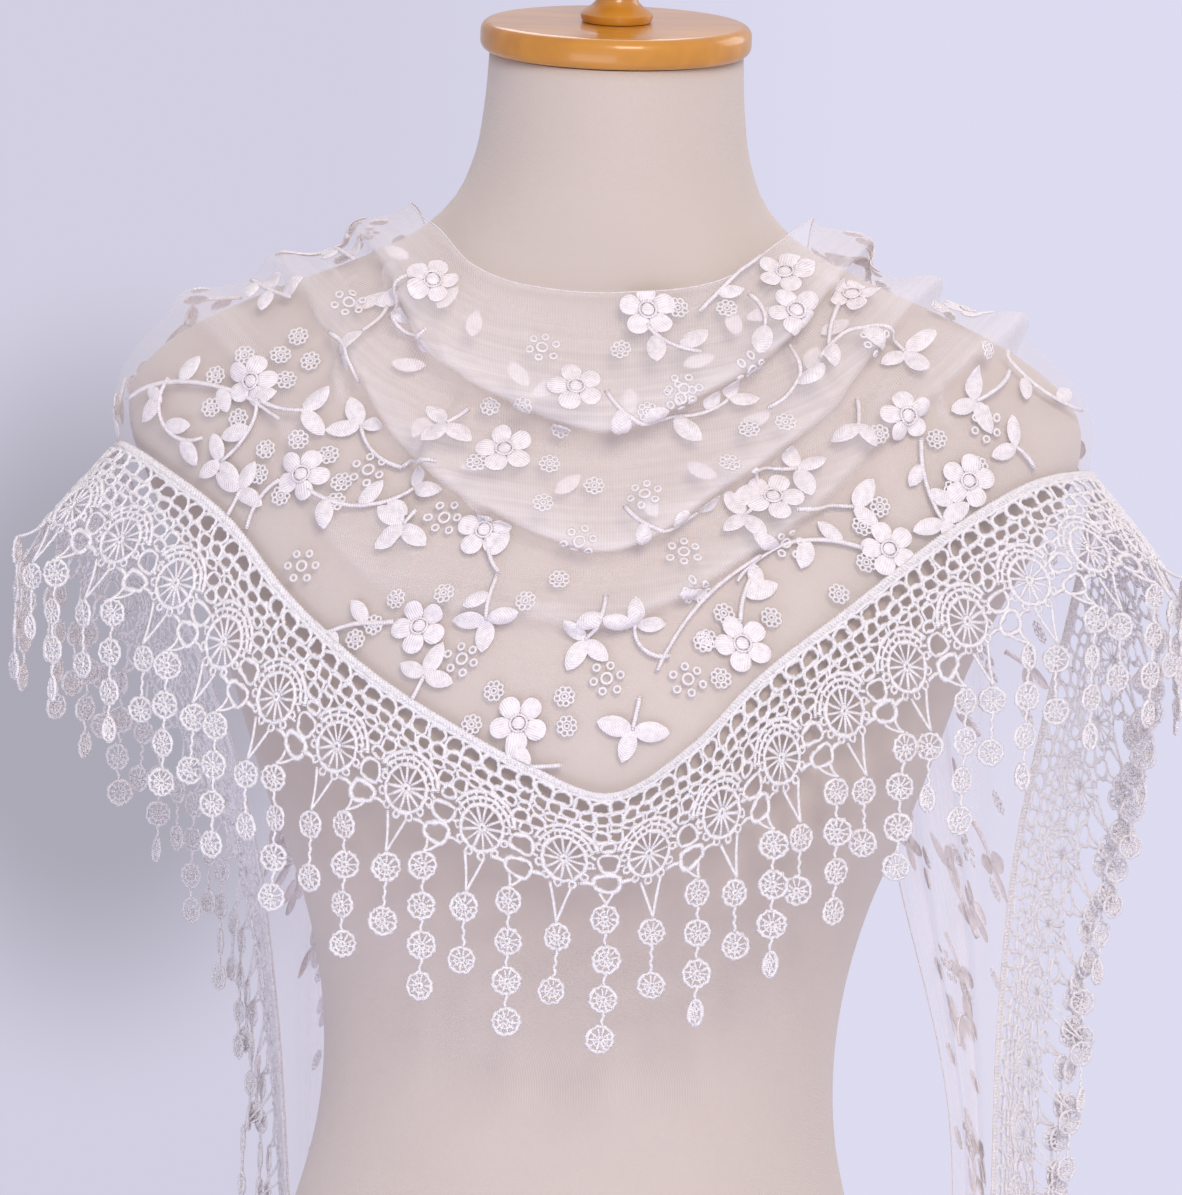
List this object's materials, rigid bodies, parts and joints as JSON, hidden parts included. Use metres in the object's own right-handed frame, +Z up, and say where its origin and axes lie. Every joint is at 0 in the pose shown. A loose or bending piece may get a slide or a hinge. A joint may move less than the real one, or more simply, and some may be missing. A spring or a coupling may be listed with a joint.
{
  "type": "lace church veil on a dress form",
  "caption": "Sheer white lace church veil with a guipure border and dotted fringe, worn as a shoulder wrap on a limbless dress form.",
  "frame": {"origin": "centre of the stand base's underside, on the floor", "axes": "+Z up the dress form, -Y the way the form's chest and the veil's point face, +X towards the viewer's right in the picture"},
  "size_m": [0.5091, 0.3169, 0.917],
  "materials": {
    "form_jersey": "matte",
    "varnished_wood": "gloss",
    "net": "matte",
    "lace": "satin"
  },
  "bodies": {
    "root": {"form_torso": "form_jersey", "neck_cap": "varnished_wood", "neck_knob": "varnished_wood", "stand_pole": "varnished_wood", "stand_base": "varnished_wood", "net_front": "net", "net_tail_left": "net", "net_tail_right": "net", "border_front": "lace", "border_tail_left": "lace", "border_tail_right": "lace", "fringe_front": "lace", "fringe_tail_left": "lace", "fringe_tail_right": "lace"}
  },
  "joints": []
}
